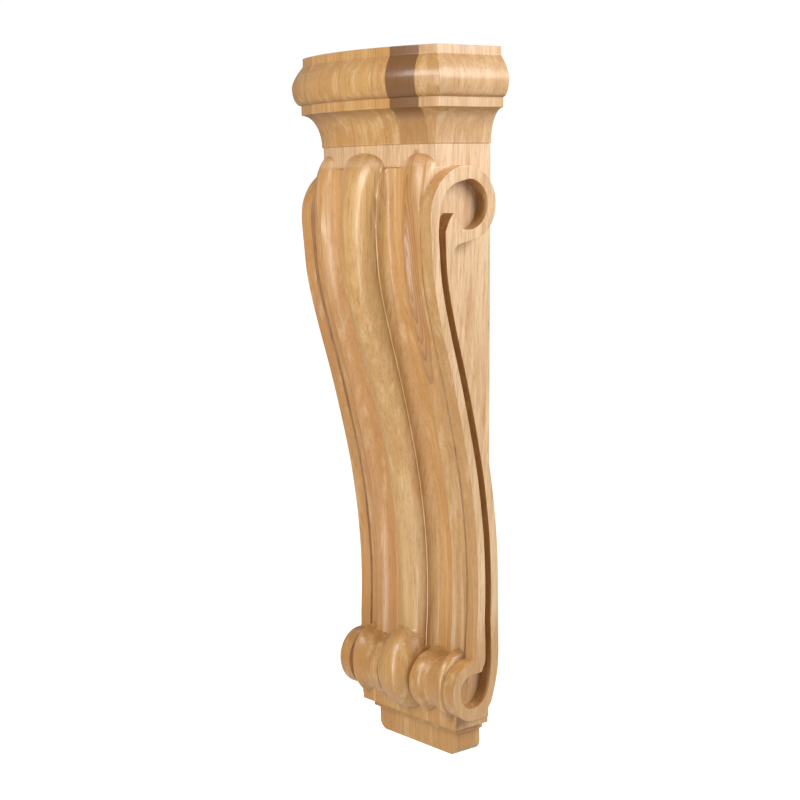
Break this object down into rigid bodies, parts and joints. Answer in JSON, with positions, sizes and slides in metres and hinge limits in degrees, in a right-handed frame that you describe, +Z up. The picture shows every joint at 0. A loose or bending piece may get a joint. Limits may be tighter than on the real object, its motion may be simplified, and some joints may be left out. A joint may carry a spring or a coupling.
{
  "type": "corbel",
  "caption": "Tall shallow carved wooden corbel with a bowed cap, a reeded S-curved front, pierced side scrolls and rolls above a stepped base.",
  "frame": {"origin": "centre of the flat back, halfway up the corbel", "axes": "+Z up, +Y into the wall, -Y out of the wall towards the carved front, X across the width"},
  "size_m": [0.1842, 0.0901, 0.5588],
  "materials": {
    "wood": "satin clear coat on glued-up pale hardwood boards"
  },
  "bodies": {
    "root": {"carved_corbel": "wood"}
  },
  "joints": []
}
